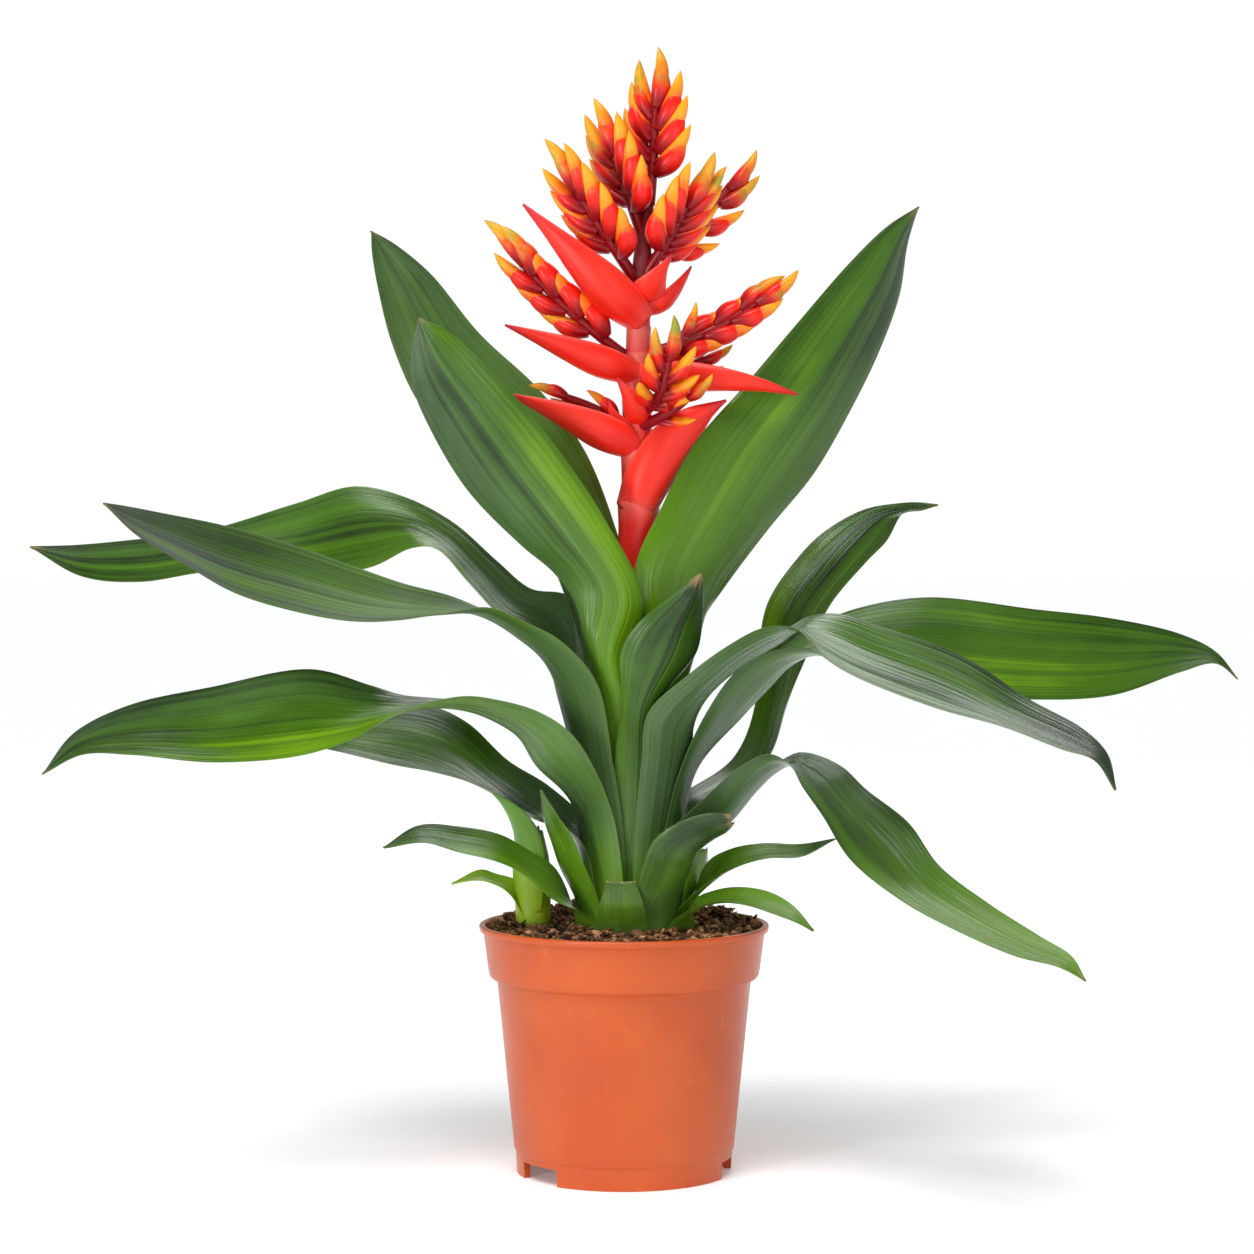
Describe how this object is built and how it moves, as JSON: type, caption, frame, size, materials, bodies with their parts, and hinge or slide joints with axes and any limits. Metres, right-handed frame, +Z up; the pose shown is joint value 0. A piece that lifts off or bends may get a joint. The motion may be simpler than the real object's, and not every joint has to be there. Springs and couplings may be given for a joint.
{
  "type": "potted bromeliad",
  "caption": "Flowering bromeliad in a round nursery pot: a rosette of strap leaves round a stalk with large bracts and branched two-ranked flower spikes.",
  "frame": {"origin": "centre of the plant's outline, on the surface that the pot's foot ring stands on", "axes": "+Z up, -Y the pictured front, +X the front view's right"},
  "size_m": [0.5652, 0.2994, 0.501],
  "materials": {
    "pot_plastic": "satin",
    "soil": "rough bark and peat",
    "leaf": "smooth and waxy, with fine lengthwise veins",
    "young_leaf": "smooth and waxy",
    "stalk": "smooth and waxy",
    "bract": "smooth and waxy",
    "spike": "glossy, red at the root and yellow at the tip"
  },
  "bodies": {
    "root": {"pot": "pot_plastic", "soil": "soil", "leaf_tall_left_back": "leaf", "leaf_tall_right": "leaf", "leaf_tall_left_front": "leaf", "leaf_upper_back": "leaf", "leaf_short_front": "leaf", "leaf_mid_left_back": "leaf", "leaf_mid_right_front": "leaf", "leaf_mid_left_front": "leaf", "leaf_mid_right_back": "leaf", "leaf_lower_back": "leaf", "leaf_low_left_front": "leaf", "leaf_back_right": "leaf", "leaf_low_left_back": "leaf", "leaf_low_right": "leaf", "leaf_inner_left": "leaf", "leaf_pale_right": "leaf", "leaf_small_left": "leaf", "leaf_level_right": "leaf", "leaf_stub_right": "leaf", "leaf_over_rim": "leaf", "leaf_scale_front": "leaf", "offshoot_left": "young_leaf", "flower_stalk": "stalk", "bract_top_left": "bract", "bract_mid_left": "bract", "bract_low_left": "bract", "bract_low_right": "bract", "bract_mid_right": "bract", "bract_top_right": "bract", "bract_behind": "bract", "bract_front": "bract", "bract_small_left": "bract", "spike_top": "spike", "spike_upper_left": "spike", "spike_outer_left": "spike", "spike_upper_right": "spike", "spike_back_right": "spike", "spike_mid_left": "spike", "spike_mid_right": "spike", "spike_front": "spike", "spike_small_right": "spike", "spike_low_right": "spike", "spike_low_left": "spike", "spike_low_front": "spike"}
  },
  "joints": []
}
